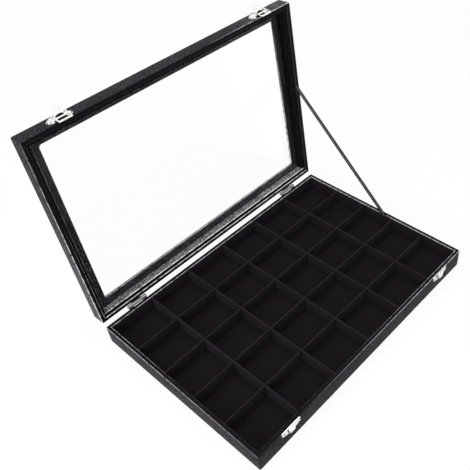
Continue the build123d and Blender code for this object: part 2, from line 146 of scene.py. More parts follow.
def embossed_leatherette(name, crease_hex, grain_top_highlight_hex, fold_highlight_hex, grain):
    """PVC leatherette embossed with a pebble grain: near-black creases round glossier tops, painted paler as
    a painted highlight. Real grain is about 0.8 mm, drawn at 1.3 mm and more so that it shows at the photo's
    size. Along its folds it gets a painted highlight in broken lines. Pressed flat on the rims it stays
    smooth and dark, and the same dark colour is painted shade on some faces. The attributes for the folds
    and the rim say where."""
    lump_size = 0.7 * grain
    highlight_patch = 40.0
    highlight_stretch = 5.0
    material, tree, output, place = new_material(name)
    cells = add_node(tree, "ShaderNodeTexVoronoi", {"Vector": place, "Scale": 1 / (grain * MM)},
                     feature="DISTANCE_TO_EDGE")
    lumps = add_node(tree, "ShaderNodeTexNoise", {"Vector": place, "Scale": 1 / (lump_size * MM),
                                                  "Detail": 3.0})
    patches = add_node(tree, "ShaderNodeTexNoise", {"Vector": place, "Scale": 1 / (highlight_patch * MM),
                                                    "Detail": 4.0})
    breaks = add_node(tree, "ShaderNodeTexNoise", {"Vector": place, "Scale": 1 / (highlight_stretch * MM),
                                                   "Detail": 5.0})
    fold_highlight = add_node(tree, "ShaderNodeAttribute", attribute_name="fold_highlight")
    pressed_rim_and_shade = add_node(tree, "ShaderNodeAttribute", attribute_name="pressed_rim_and_shade")
    pebble = add_node(tree, "ShaderNodeMapRange", {"Value": cells.outputs["Distance"], "From Max": 0.3})
    raised_tops = add_node(tree, "ShaderNodeMapRange", {"Value": lumps.outputs["Fac"], "From Min": 0.4,
                                                      "From Max": 0.64})
    relief = add_node(tree, "ShaderNodeMath", {0: pebble.outputs["Result"], 1: raised_tops.outputs["Result"]},
                      operation="MULTIPLY")
    patch = add_node(tree, "ShaderNodeMapRange", {"Value": patches.outputs["Fac"], "From Min": 0.35,
                                                  "From Max": 0.65, "To Min": 0.5, "To Max": 1.0})
    seen_grain = add_node(tree, "ShaderNodeMath", {0: relief.outputs["Value"], 1: patch.outputs["Result"]},
                          operation="MULTIPLY")
    # Painted highlight: the raised tops of the grain are painted paler than its creases, in patches.
    grained = add_node(tree, "ShaderNodeMix", {0: seen_grain.outputs["Value"], 6: colour(crease_hex),
                                               7: colour(grain_top_highlight_hex)}, data_type="RGBA")
    # Pressed dark on the rims; the same dark colour is painted shade on other faces.
    pressed_and_shaded = add_node(tree, "ShaderNodeMix", {0: pressed_rim_and_shade.outputs["Fac"], 6: grained.outputs[2],
                                               7: colour("0b0a0c")}, data_type="RGBA")
    broken = add_node(tree, "ShaderNodeMapRange", {"Value": breaks.outputs["Fac"], "From Min": 0.3,
                                                   "From Max": 0.55})
    # Painted highlight along the folds, in broken lines.
    rubbing_and_highlight = add_node(tree, "ShaderNodeMath", {0: fold_highlight.outputs["Fac"], 1: broken.outputs["Result"]},
                      operation="MULTIPLY")
    shade = add_node(tree, "ShaderNodeMix", {0: rubbing_and_highlight.outputs["Value"], 6: pressed_and_shaded.outputs[2],
                                             7: colour(fold_highlight_hex)}, data_type="RGBA")
    rough = add_node(tree, "ShaderNodeMapRange", {"Value": relief.outputs["Value"], "To Min": 0.7,
                                                  "To Max": 0.32})
    bump = add_node(tree, "ShaderNodeBump", {"Height": relief.outputs["Value"], "Strength": 0.8,
                                             "Distance": 0.2 * MM})
    surface = add_node(tree, "ShaderNodeBsdfPrincipled", {
        "Base Color": shade.outputs[2], "Roughness": rough.outputs["Result"], "IOR": 1.5,
        "Specular IOR Level": 0.07, "Normal": bump.outputs["Normal"]})
    tree.links.new(surface.outputs["BSDF"], output.inputs["Surface"])
    return material


def flocked_velvet(name, dark_hex, pile_highlight_hex, pile_highlight_from, pile_highlight_to):
    """Flocked rayon velvet: a short black pile that drinks light, with a faint sheen at its edges and
    brushed patches. From one height to another the pile is painted paler, a painted highlight along the top
    of a card strip."""
    pile_tuft = 0.35
    brushed_patch = 14.0
    material, tree, output, place = new_material(name)
    pile = add_node(tree, "ShaderNodeTexNoise", {"Vector": place, "Scale": 1 / (pile_tuft * MM),
                                                 "Detail": 2.0})
    brushed = add_node(tree, "ShaderNodeTexNoise", {"Vector": place, "Scale": 1 / (brushed_patch * MM),
                                                    "Detail": 5.0, "Distortion": 1.2})
    height = add_node(tree, "ShaderNodeSeparateXYZ", {"Vector": place})
    pile_top_highlight = add_node(tree, "ShaderNodeMapRange", {"Value": height.outputs["Z"],
                                                    "From Min": pile_highlight_from * MM,
                                                    "From Max": pile_highlight_to * MM})
    lint = add_node(tree, "ShaderNodeMapRange", {"Value": brushed.outputs["Fac"], "From Min": 0.42,
                                                 "From Max": 0.72, "To Max": 0.5})
    nap = add_node(tree, "ShaderNodeMix", {0: lint.outputs["Result"], 6: colour(dark_hex),
                                           7: colour("100f12")}, data_type="RGBA")
    # Painted highlight: the pile is painted paler towards the top of the card strips.
    shade = add_node(tree, "ShaderNodeMix", {0: pile_top_highlight.outputs["Result"], 6: nap.outputs[2],
                                             7: colour(pile_highlight_hex)}, data_type="RGBA")
    bump = add_node(tree, "ShaderNodeBump", {"Height": pile.outputs["Fac"], "Strength": 0.6,
                                             "Distance": 0.12 * MM})
    surface = add_node(tree, "ShaderNodeBsdfPrincipled", {
        "Base Color": shade.outputs[2], "Roughness": 0.95, "Specular IOR Level": 0.15,
        "Sheen Weight": 0.25, "Sheen Roughness": 0.5, "Sheen Tint": colour("55545a"),
        "Normal": bump.outputs["Normal"]})
    tree.links.new(surface.outputs["BSDF"], output.inputs["Surface"])
    return material


def plated_steel(name, bright_hex, dull_hex, roughness, shaded_hollows=()):
    """Plating on pressed steel, with faint rubbing marks and patches rubbed dull. Its hollows are painted
    black as painted shade: egg-shaped places, each given by its middle and half sizes, and counted from the
    middle of a left or right fitting."""
    mark_width = 0.5
    width_to_length = 0.12
    dull_patch = 2.0
    material, tree, output, place = new_material(name)
    rubbing = add_node(tree, "ShaderNodeMapping", {"Vector": place, "Scale": (1.0, 1.0, width_to_length)})
    marks = add_node(tree, "ShaderNodeTexNoise", {"Vector": rubbing.outputs["Vector"],
                                                  "Scale": 1 / (mark_width * MM), "Detail": 4.0})
    dull = add_node(tree, "ShaderNodeTexNoise", {"Vector": place, "Scale": 1 / (dull_patch * MM),
                                                 "Detail": 3.0})
    patches = add_node(tree, "ShaderNodeMapRange", {"Value": dull.outputs["Fac"], "From Min": 0.38,
                                                    "From Max": 0.68})
    shade = add_node(tree, "ShaderNodeMix", {0: patches.outputs["Result"], 6: colour(bright_hex),
                                             7: colour(dull_hex)}, data_type="RGBA").outputs[2]
    split = add_node(tree, "ShaderNodeSeparateXYZ", {"Vector": place})
    either_side = add_node(tree, "ShaderNodeMath", {0: split.outputs["X"]}, operation="ABSOLUTE")
    from_middle = add_node(tree, "ShaderNodeMath", {0: either_side.outputs["Value"], 1: latch_centre_x * MM},
                           operation="SUBTRACT")
    both_ways = add_node(tree, "ShaderNodeMath", {0: from_middle.outputs["Value"]}, operation="ABSOLUTE")
    folded_place = add_node(tree, "ShaderNodeCombineXYZ", {"X": both_ways.outputs["Value"],
                                                           "Y": split.outputs["Y"], "Z": split.outputs["Z"]})
    for middle, half_size in shaded_hollows:
        away = add_node(tree, "ShaderNodeVectorMath", {0: folded_place.outputs["Vector"],
                                                       1: [c * MM for c in middle]}, operation="SUBTRACT")
        scaled = add_node(tree, "ShaderNodeVectorMath", {0: away.outputs["Vector"],
                                                         1: [c * MM for c in half_size]}, operation="DIVIDE")
        distance = add_node(tree, "ShaderNodeVectorMath", {0: scaled.outputs["Vector"]}, operation="LENGTH")
        # Painted shade: black in each hollow.
        black = add_node(tree, "ShaderNodeMapRange", {"Value": distance.outputs["Value"], "From Min": 1.1,
                                                      "From Max": 0.9})
        shade = add_node(tree, "ShaderNodeMix", {0: black.outputs["Result"], 6: shade,
                                                 7: colour("100f0d")}, data_type="RGBA").outputs[2]
    bump = add_node(tree, "ShaderNodeBump", {"Height": marks.outputs["Fac"], "Strength": 0.15,
                                             "Distance": 0.02 * MM})
    surface = add_node(tree, "ShaderNodeBsdfPrincipled", {
        "Base Color": shade, "Metallic": 1.0, "Roughness": roughness, "Normal": bump.outputs["Normal"]})
    tree.links.new(surface.outputs["BSDF"], output.inputs["Surface"])
    return material


def float_glass():
    """Clear float glass, faintly green in its thickness, polished, with a thin film of dust. Lamp rays go
    straight through it. The index is kept low, because the photo hardly shows its reflections."""
    dust_cloud = 22.0
    material, tree, output, place = new_material("clear_float_glass")
    dust = add_node(tree, "ShaderNodeTexNoise", {"Vector": place, "Scale": 1 / (dust_cloud * MM),
                                                 "Detail": 6.0})
    haze = add_node(tree, "ShaderNodeMapRange", {"Value": dust.outputs["Fac"], "From Min": 0.4,
                                                 "From Max": 0.8, "To Min": 0.0, "To Max": 0.01})
    surface = add_node(tree, "ShaderNodeBsdfPrincipled", {
        "Base Color": colour("ffffff"), "Roughness": haze.outputs["Result"], "IOR": 1.2,
        "Transmission Weight": 1.0})
    clear = add_node(tree, "ShaderNodeBsdfTransparent", {"Color": colour("f2f7f4")})
    ray = add_node(tree, "ShaderNodeLightPath")
    mixed = add_node(tree, "ShaderNodeMixShader", {0: ray.outputs["Is Shadow Ray"],
                                                   1: surface.outputs["BSDF"], 2: clear.outputs["BSDF"]})
    tree.links.new(mixed.outputs["Shader"], output.inputs["Surface"])
    return material


def sawn_fibreboard(name, dark_hex, pale_hex):
    """Medium density fibreboard as sawn: matt, with fine paler and darker fibres."""
    fibre_length = 1.2
    material, tree, output, place = new_material(name)
    fibres = add_node(tree, "ShaderNodeTexNoise", {"Vector": place, "Scale": 1 / (fibre_length * MM),
                                                   "Detail": 8.0, "Roughness": 0.7})
    shade = add_node(tree, "ShaderNodeMix", {0: fibres.outputs["Fac"], 6: colour(dark_hex),
                                             7: colour(pale_hex)}, data_type="RGBA")
    bump = add_node(tree, "ShaderNodeBump", {"Height": fibres.outputs["Fac"], "Strength": 0.4,
                                             "Distance": 0.1 * MM})
    surface = add_node(tree, "ShaderNodeBsdfPrincipled", {
        "Base Color": shade.outputs[2], "Roughness": 0.85, "Normal": bump.outputs["Normal"]})
    tree.links.new(surface.outputs["BSDF"], output.inputs["Surface"])
    return material


def bottom_paper():
    """Dyed black paper board: dull, with flecks of fibre and rubbed, paler spots."""
    fibre_fleck = 0.8
    rubbed_spot = 30.0
    material, tree, output, place = new_material("dyed_black_paper")
    fibre = add_node(tree, "ShaderNodeTexNoise", {"Vector": place, "Scale": 1 / (fibre_fleck * MM),
                                                  "Detail": 6.0})
    rubbing_and_highlight = add_node(tree, "ShaderNodeTexNoise", {"Vector": place, "Scale": 1 / (rubbed_spot * MM),
                                                   "Detail": 6.0})
    wear = add_node(tree, "ShaderNodeMapRange", {"Value": rubbing_and_highlight.outputs["Fac"], "From Min": 0.5,
                                                 "From Max": 0.75})
    shade = add_node(tree, "ShaderNodeMix", {0: wear.outputs["Result"], 6: colour("1c1b1d"),
                                             7: colour("2f2e31")}, data_type="RGBA")
    bump = add_node(tree, "ShaderNodeBump", {"Height": fibre.outputs["Fac"], "Strength": 0.4,
                                             "Distance": 0.08 * MM})
    surface = add_node(tree, "ShaderNodeBsdfPrincipled", {
        "Base Color": shade.outputs[2], "Roughness": 0.9, "Normal": bump.outputs["Normal"]})
    tree.links.new(surface.outputs["BSDF"], output.inputs["Surface"])
    return material


def woven_ribbon():
    """Grosgrain ribbon in near-black polyester, ribbed crosswise, with a painted highlight in grey down its
    middle. The real ribs are about 0.6 mm apart, drawn at 1.2 mm so that they show. The pattern runs on
    the ribbon's own UV map, across its width in U and along it in V."""
    rib_spacing = 1.2
    ribbed_length = 208.0
    material, tree, output, place = new_material("grosgrain_ribbon")
    split = add_node(tree, "ShaderNodeSeparateXYZ", {"Vector": place.node.outputs["UV"]})
    ribs = add_node(tree, "ShaderNodeMath", {0: split.outputs["Y"],
                                             1: 2 * pi * ribbed_length / rib_spacing}, operation="MULTIPLY")
    wave = add_node(tree, "ShaderNodeMath", {0: ribs.outputs["Value"]}, operation="SINE")
    offset = add_node(tree, "ShaderNodeMath", {0: split.outputs["X"], 1: 0.5}, operation="SUBTRACT")
    from_painted_highlight = add_node(tree, "ShaderNodeMath", {0: offset.outputs["Value"]}, operation="ABSOLUTE")
    black = add_node(tree, "ShaderNodeMapRange", {"Value": from_painted_highlight.outputs["Value"], "From Min": 0.07,
                                                  "From Max": 0.12})
    # Painted highlight: a grey band down the middle of the black ribbon.
    shade = add_node(tree, "ShaderNodeMix", {0: black.outputs["Result"], 6: colour("7f7d83"),
                                             7: colour("060507")}, data_type="RGBA")
    bump = add_node(tree, "ShaderNodeBump", {"Height": wave.outputs["Value"], "Strength": 0.5,
                                             "Distance": 0.05 * MM})
    surface = add_node(tree, "ShaderNodeBsdfPrincipled", {
        "Base Color": shade.outputs[2], "Roughness": 0.75, "Specular IOR Level": 0.1,
        "Normal": bump.outputs["Normal"]})
    tree.links.new(surface.outputs["BSDF"], output.inputs["Surface"])
    return material


leather = embossed_leatherette("embossed_pvc_leatherette", "0c0b0d", "65636a", "dedce0", 1.3)
# A paler copy with a painted highlight for the lit rear strip, and a darker copy with painted shade for the
# others.
highlit_strip_leather = embossed_leatherette("strip_leatherette_highlit", "2a292c", "ffffff", "fbfafc", 2.0)
shaded_strip_leather = embossed_leatherette("strip_leatherette_shaded", "040304", "1a191b", "a9a7ab", 1.3)
velvet = flocked_velvet("flocked_black_velvet", "110d10", "1e1b1f", liner_top - 0.9, liner_top)

# The latches' hollows that get painted shade, each with its middle and half sizes
behind_lever = ((0, 142, 268), (7.4, 5.0, 3.0))
lever_bend = ((0, 143.5, 269.5), (6.0, 5.0, 3.2))
hook_side = ((4.3, -121.5, 18.5), (0.9, 2.5, 3.0))
nail_ring = (2.1, 2.1, 2.1)
plate_nail = ((latch_nail_half_spacing, 146.35, 267.7), nail_ring)
catch_nail = ((latch_nail_half_spacing, -120.7, 20.0), nail_ring)

bright_nickel = plated_steel("bright_nickel", "fdfdfc", "e2e2df", 0.18)
latch_plate_nickel = plated_steel("latch_plate_nickel", "fdfdfc", "d8d8d5", 0.18, [behind_lever, plate_nail])
lever_nickel = plated_steel("lever_nickel", "fdfdfc", "efefed", 0.18, [lever_bend])
catch_nickel = plated_steel("catch_plate_nickel", "fdfdfc", "c9c9c6", 0.18, [hook_side, catch_nail])
dull_zinc = plated_steel("dull_zinc", "a3a3a2", "6d6d6c", 0.38)
glass = float_glass()
fibreboard = sawn_fibreboard("raw_fibreboard", "8a6a4a", "b8946c")
stained_fibreboard = sawn_fibreboard("black_stained_fibreboard", "0c0b0c", "1b1a1b")
paper = bottom_paper()
grosgrain = woven_ribbon()


# Modelling by hand: what is selected, shaped and finished

def only(piece):
    """Makes one piece the active and only selected one."""
    bpy.ops.object.select_all(action="DESELECT")
    piece.select_set(True)
    bpy.context.view_layer.objects.active = piece


def set_in_place(piece, name, size=(1.0, 1.0, 1.0)):
    """Names a new piece, sizes it and puts its place, turn and size into its mesh."""
    piece.name = name
    piece.data.name = name
    piece.scale = size
    only(piece)
    bpy.ops.object.transform_apply(location=True, rotation=True, scale=True)
    return piece


def block(name, x, y, z):
    """A block between three pairs of faces, to be shaped further."""
    centre = [(low + high) / 2 * MM for low, high in (x, y, z)]
    size = [(high - low) * MM for low, high in (x, y, z)]
    bpy.ops.object.select_all(action="DESELECT")
    bpy.ops.mesh.primitive_cube_add(size=1, location=centre)
    return set_in_place(bpy.context.object, name, size)


def pick(piece, kind, test):
    """Opens a piece in edit mode with the faces or edges selected whose middle and direction pass a test."""
    only(piece)
    bpy.ops.object.mode_set(mode="EDIT")
    bpy.ops.mesh.select_mode(type=kind)
    bpy.ops.mesh.select_all(action="DESELECT")
    bpy.ops.object.mode_set(mode="OBJECT")
    mesh = piece.data
    if kind == "FACE":
        for face in mesh.polygons:
            face.select = test(face.center / MM, face.normal)
    else:
        for edge in mesh.edges:
            first, second = (mesh.vertices[index].co for index in edge.vertices)
            edge.select = test((first + second) / 2 / MM, (second - first).normalized())
    bpy.ops.object.mode_set(mode="EDIT")


def round_edges(piece, radius, segments, test):
    """Rounds the edges that pass a test."""
    pick(piece, "EDGE", test)
    bpy.ops.mesh.bevel(offset=radius * MM, segments=segments, profile=0.5, affect="EDGES")
    bpy.ops.object.mode_set(mode="OBJECT")


def finish_with(piece, kind, **settings):
    """Adds a modifier with its settings and applies it."""
    only(piece)
    modifier = piece.modifiers.new(kind.lower(), kind)
    for name, value in settings.items():
        setattr(modifier, name, value)
    bpy.ops.object.modifier_apply(modifier=modifier.name)


def smooth(piece, angle=35.0):
    """Shades a piece smooth, apart from edges sharper than the angle."""
    only(piece)
    bpy.ops.object.shade_smooth_by_angle(angle=radians(angle))


def dress(piece, body, material, slot, *nodes):
    """Gives a piece its material, the body that it rides on and the nodes that it stands for. Its slot is
    not used.
    """
    piece.data.materials.clear()
    piece.data.materials.append(material)
    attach(piece, body)
    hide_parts(*nodes)


def open_with_lid(piece):
    """Turns a piece that was modelled on the closed lid to where the open lid has it."""
    only(piece)
    bpy.ops.transform.rotate(value=radians(lid_open_angle), orient_axis="X",
                             center_override=[c * MM for c in hinge_axis])
    bpy.ops.object.transform_apply(location=True, rotation=True, scale=True)
    return piece


def copy_of(piece, name, move):
    """A copy with its own mesh, moved by the given amount."""
    only(piece)
    bpy.ops.object.duplicate(linked=False)
    twin = bpy.context.object
    twin.location = [c * MM for c in move]
    return set_in_place(twin, name)


def level(height, wanted, slack=0.02):
    """Whether two heights are the same, within a little slack."""
    return abs(height - wanted) < slack


def lies_along(part):
    """Whether a direction with this part along an axis lies along it."""
    return abs(part) > 0.9


def longer_in_x(x, y):
    """Whether a strip between these faces is longer in X than in Y."""
    return x[1] - x[0] > y[1] - y[0]


def sign(value):
    """1 for a value above nothing, -1 for one below it, and otherwise 0."""
    return (value > 0) - (value < 0)


# Leatherette skins: a sheet drawn out through rectangular stations, then given its thickness

# The skin is drawn thinner than the real leatherette, so that its inner side stays clear of the boards.
drawn_thickness = 0.35
fold_radius = 0.7
outer_corner_radius = 1.5
window_corner_radius = 3.0
# Edges this near to a corner are rounded with it.
corner_reach = 0.49

# A skin's faces are told apart by how far they lie inside the outer faces, by their distance from the rim
# and by the upward part of their direction.
wall_depth = 0.5
outer_fold_depth = 2.0
window_edge_depth = 10.0
near_rim = 1.0
diagonal_slack = 0.01
upright_below = 0.2
flat_above = 0.99


def folded(stations):
    """The stations with a small round fold, in three steps, at each one between the first and the last."""
    path = [stations[0]]
    for before, here, after in zip(stations, stations[1:], stations[2:]):
        back, ahead = ([sign(other[axis] - here[axis]) for axis in (0, 2)] for other in (before, after))
        for turn in (0, 30, 60, 90):
            out, up = (fold_radius * (b + a - b * sin(radians(turn)) - a * cos(radians(turn)))
                       for b, a in zip(back, ahead))
            path.append((here[0] + out, here[1] + out, here[2] + up))
    return path + [stations[-1]]


def sheet_through(name, stations):
    """Starts as the first station's rectangle and is extruded to each next one: half length, half depth
    and height."""
    half_x, half_y, height = stations[0]
    bpy.ops.object.select_all(action="DESELECT")
    bpy.ops.mesh.primitive_plane_add(size=2, location=(0, 0, height * MM))
    sheet = set_in_place(bpy.context.object, name, (half_x * MM, half_y * MM, 1))
    bpy.ops.object.mode_set(mode="EDIT")
    bpy.ops.mesh.select_mode(type="EDGE")
    bpy.ops.mesh.select_all(action="SELECT")
    bpy.ops.mesh.delete(type="ONLY_FACE")
    bpy.ops.mesh.select_all(action="SELECT")
    for next_x, next_y, next_height in folded(stations)[1:]:
        bpy.ops.mesh.extrude_region_move(
            TRANSFORM_OT_translate={"value": (0, 0, (next_height - height) * MM)})
        bpy.ops.transform.resize(value=(next_x / half_x, next_y / half_y, 1), center_override=(0, 0, 0))
        half_x, half_y, height = next_x, next_y, next_height
    bpy.ops.mesh.select_all(action="SELECT")
    bpy.ops.mesh.normals_make_consistent(inside=False)
    bpy.ops.object.mode_set(mode="OBJECT")
    outermost = max(sheet.data.polygons, key=lambda face: face.center.x)
    if outermost.normal.x < 0:
        bpy.ops.object.mode_set(mode="EDIT")
        bpy.ops.mesh.flip_normals()
        bpy.ops.object.mode_set(mode="OBJECT")
    return sheet


def round_corners(sheet, corner_x, corner_y, radius, segments):
    """Rounds a skin's four corners where it passes the given half length and half depth."""
    round_edges(sheet, radius, segments,
                lambda middle, way: abs(abs(middle.x) - corner_x) < corner_reach
                and abs(abs(middle.y) - corner_y) < corner_reach)


def side_and_depth(middle):
    """The side of the box that a place lies on, and how far inside that side's outer face. The middle face
    of a rounded corner, on the diagonal, counts as the left or right side's."""
    from_end = half_length - abs(middle.x / MM)
    from_long_side = half_depth - abs(middle.y / MM)
    if from_end < from_long_side + diagonal_slack:
        return "right" if middle.x > 0 else "left", from_end
    return "rear" if middle.y > 0 else "front", from_long_side


def mark_folds_and_rim(sheet, rim_height, wear):
    """Tells the leatherette where it lies smooth and dark on the rim, where the flap behind the glass at the
    right is painted as dark as painted shade, and how strong a painted highlight its folds, the window's
    edge
    and the outer walls get: from the value at the side's -X or -Y end to that at its +X or +Y end. Below
    nothing it stays black."""
    fold_highlight = sheet.data.attributes.new("fold_highlight", "FLOAT", "CORNER")
    pressed_rim_and_shade = sheet.data.attributes.new("pressed_rim_and_shade", "FLOAT", "FACE")
    for face in sheet.data.polygons:
        side, depth = side_and_depth(face.center)
        height = face.center.z / MM
        upright = abs(face.normal.z) < upright_below
        flat = abs(face.normal.z) > flat_above
        at_window = depth > window_edge_depth
        # Painted shade: behind the glass at the right the flap is painted as dark as the rim.
        shaded_behind_glass = at_window and side == "right" and height < lid_top - near_rim
        pressed_rim_and_shade.data[face.index].value = float(flat and (level(height, rim_height) or shaded_behind_glass))
        on_rim = abs(height - rim_height) < near_rim
        if not flat and not upright:
            ring = "outer" if on_rim and depth < outer_fold_depth else "inner" if on_rim else "other"
        elif upright and (at_window or depth < wall_depth):
            ring = "reveal" if at_window else "wall"
        else:
            continue
        # Painted highlight, ramped from one end of the side to the other.
        start, end = wear.get(ring, {}).get(side, (0.0, 0.0))
        for corner in face.loop_indices:
            place = sheet.data.vertices[sheet.data.loops[corner].vertex_index].co / MM
            share = place.y / half_depth if side in ("left", "right") else place.x / half_length
            fold_highlight.data[corner].value = start + (end - start) * (share + 1) / 2


def give_thickness(sheet, rim_height, wear):
    """Marks a skin for its material and turns it from a sheet into leatherette with an inner side."""
    mark_folds_and_rim(sheet, rim_height, wear)
    finish_with(sheet, "SOLIDIFY", thickness=drawn_thickness * MM, offset=-1.0)
    smooth(sheet, 40)


# Painted highlight from the -X or -Y end to the +X or +Y end: on the outer and inner fold of the rim, on
# the other folds, on the window's edge and on the outer walls. What isn't named here gets none.
tray_wear = {
    "outer": {"left": (0.1, 0.45), "front": (-0.2, 0.8), "right": (0.1, 0.1)},
    "inner": {"left": (-0.8, 0.8), "front": (-0.7, 0.9), "right": (0.55, 0.55), "rear": (0.5, 0.5)},
    "other": {"left": (0.4, 0.4), "front": (0.3, 0.5), "right": (0.3, 0.3), "rear": (0.3, 0.3)},
}
lid_wear = {
    "outer": {"left": (0.1, 1.0), "front": (-1.5, 0.9), "right": (0.2, 0.2)},
    "inner": {"left": (-0.5, 0.7), "rear": (1.0, 1.0)},
    "other": {"left": (0.1, 0.7), "front": (0.1, 0.2), "right": (-0.1, 0.9), "rear": (0.45, 0.45)},
    "reveal": {"right": (-0.2, 1.0), "rear": (0.3, 0.3)},
    "wall": {"left": (-0.02, 0.09), "front": (-0.35, 0.12)},
}

bottom_turn_in_height = 0.35
bottom_turn_in_width = 17.0
rim_turn_in = 4.5
proud_of_board = 0.08
tray_rim_inner = (board_inner_x - proud_of_board, board_inner_y - proud_of_board)
tray_leatherette = sheet_through("tray_leatherette", [
    (half_length - bottom_turn_in_width, half_depth - bottom_turn_in_width, bottom_turn_in_height),
    (half_length, half_depth, bottom_turn_in_height),
    (half_length, half_depth, base_height),
    (*tray_rim_inner, base_height),
    (*tray_rim_inner, base_height - rim_turn_in),
])
round_corners(tray_leatherette, half_length, half_depth, outer_corner_radius, 5)
give_thickness(tray_leatherette, base_height, tray_wear)
dress(tray_leatherette, "case", leather, "black_leatherette", "base_leatherette_wrap")

flap_end_gap = 0.5
behind_retainer = 0.5
lid_leatherette = sheet_through("lid_leatherette", [
    (lid_inner_x - flap_end_gap, lid_inner_y - flap_end_gap, glass_top),
    (window_x, window_y, glass_top),
    (window_x, window_y, lid_top),
    (half_length, half_depth, lid_top),
    (half_length, half_depth, lid_rim),
    (lid_inner_x, lid_inner_y, lid_rim),
    (lid_inner_x, lid_inner_y, retainer_bottom + behind_retainer),
])
round_corners(lid_leatherette, half_length, half_depth, outer_corner_radius, 5)
round_corners(lid_leatherette, window_x, window_y, window_corner_radius, 6)
give_thickness(lid_leatherette, lid_rim, lid_wear)
open_with_lid(lid_leatherette)
dress(lid_leatherette, "lid", leather, "black_leatherette", "lid_leatherette_wrap")


# Black paper under the tray, pasted over the turned-in leatherette

paper_border = 4.0
paper_half_length = half_length - paper_border
paper_half_depth = half_depth - paper_border
paper_corner_radius = 3.0
paper_edge = 0.12
bottom = block("bottom_paper", (-paper_half_length, paper_half_length),
               (-paper_half_depth, paper_half_depth), (0, bottom_turn_in_height))
round_edges(bottom, paper_corner_radius, 5, lambda middle, way: lies_along(way.z))
round_edges(bottom, paper_edge, 2, lambda middle, way: level(middle.z, 0))
smooth(bottom)
dress(bottom, "case", paper, "black_paper", "base_bottom_cover")


# Velvet linings on the walls, rounded over their top edge

lining_rounding = 0.22
lining_wall_gap = 0.2


def lining(name, x, y, node):
    """A velvet-covered card between these faces, from the floor panel to just below the rim."""
    piece = block(name, x, y, (floor_top, liner_top))
    long_in_x = longer_in_x(x, y)
    round_edges(piece, lining_rounding, 3, lambda middle, way: level(middle.z, liner_top)
                and lies_along(way.x if long_in_x else way.y))
    smooth(piece)
    dress(piece, "case", velvet, "black_velvet", node)


lining_outer_x = board_inner_x - lining_wall_gap
lining_outer_y = board_inner_y - lining_wall_gap
lining_run_x = (-lining_outer_x, lining_outer_x)
lining_run_y = (-liner_inner_y, liner_inner_y)
lining("velvet_lining_front", lining_run_x, (-lining_outer_y, -liner_inner_y), "front_velvet_liner")
lining("velvet_lining_rear", lining_run_x, (liner_inner_y, lining_outer_y), "rear_velvet_liner")
lining("velvet_lining_left", (-lining_outer_x, -liner_inner_x), lining_run_y, "left_velvet_liner")
# The right lining is thinner and stands proud, because the ribbon's end is tucked in behind it.
proud_lining = 0.4
lining_behind = 0.05
lining("velvet_lining_right", (liner_inner_x - proud_lining, liner_inner_x + lining_behind), lining_run_y,
       "right_velvet_liner")


# Velvet floor over thin wadding, drawn down under each divider

pad_hem = 1.6
pad_panel_gap = 0.1
# How the wadding swells in each compartment: each step inwards and how much it rises there
pad_swell = ((1.2, 0.12), (1.8, 0.14), (2.6, 0.14), (4.0, 0.12), (5.0, 0.08))
bpy.ops.object.select_all(action="DESELECT")
bpy.ops.mesh.primitive_grid_add(x_subdivisions=column_count, y_subdivisions=row_count, size=2,
                                location=(0, 0, pad_top * MM))
velvet_floor = set_in_place(bpy.context.object, "velvet_floor",
                            (liner_inner_x * MM, liner_inner_y * MM, 1))
bpy.ops.object.mode_set(mode="EDIT")
bpy.ops.mesh.select_all(action="SELECT")
bpy.ops.mesh.inset(thickness=pad_hem * MM, use_individual=True)
for step, rise in pad_swell:
    bpy.ops.mesh.inset(thickness=step * MM, use_individual=True)
    bpy.ops.transform.translate(value=(0, 0, rise * MM))
bpy.ops.object.mode_set(mode="OBJECT")
finish_with(velvet_floor, "SOLIDIFY", thickness=(pad_top - floor_top - pad_panel_gap) * MM, offset=-1.0)
smooth(velvet_floor, 60)
dress(velvet_floor, "case", velvet, "black_velvet", "velvet_floor_pad")


# Dividers: velvet-covered card strips, slotted half-way so that they lock into a grid

divider_rounding = 0.6
divider_end_gap = 0.1
slot_half_width = divider_thickness / 2 + divider_slot_gap
cutter_overrun = 1.0
cutter_half_depth = 3.0


def divider(half_run, pitch, count, slot_z):
    """A strip along X in the middle of the tray, with evenly spaced slots cut between two heights."""
    strip = block("divider_strip", (-half_run, half_run), (-divider_thickness / 2, divider_thickness / 2),
                  (pad_top, divider_top))
    first = -pitch * (count - 1) / 2
    cutter = block("slot_cutter", (first - slot_half_width, first + slot_half_width),
                   (-cutter_half_depth, cutter_half_depth), slot_z)
    finish_with(cutter, "ARRAY", count=count, use_relative_offset=False, use_constant_offset=True,
                constant_offset_displace=(pitch * MM, 0, 0))
    finish_with(strip, "BOOLEAN", operation="DIFFERENCE", object=cutter, solver="EXACT")
    bpy.data.objects.remove(cutter)
    round_edges(strip, divider_rounding, 4,
                lambda middle, way: level(middle.z, divider_top) and lies_along(way.x))
    smooth(strip)
    return strip


slot_middle = (pad_top + divider_top) / 2
long_strip = divider(liner_inner_x - divider_end_gap, column_pitch, column_count - 1,
                     (pad_top - cutter_overrun, slot_middle + divider_slot_gap))
for index in range(1, row_count):
    strip = copy_of(long_strip, f"long_divider_velvet_{index}", (0, -liner_inner_y + row_pitch * index, 0))
    dress(strip, "case", velvet, "black_velvet", f"long_divider_{index}")
bpy.data.objects.remove(long_strip)

cross_strip = divider(liner_inner_y - divider_end_gap, row_pitch, row_count - 1,
                      (slot_middle, divider_top + cutter_overrun))
cross_strip.rotation_euler.z = radians(90)
set_in_place(cross_strip, "divider_strip")
for index in range(1, column_count):
    strip = copy_of(cross_strip, f"cross_divider_velvet_{index}",
                    (-liner_inner_x + column_pitch * index, 0, 0))
    dress(strip, "case", velvet, "black_velvet", f"cross_divider_{index}")
bpy.data.objects.remove(cross_strip)


# Glass pane with its ground edges

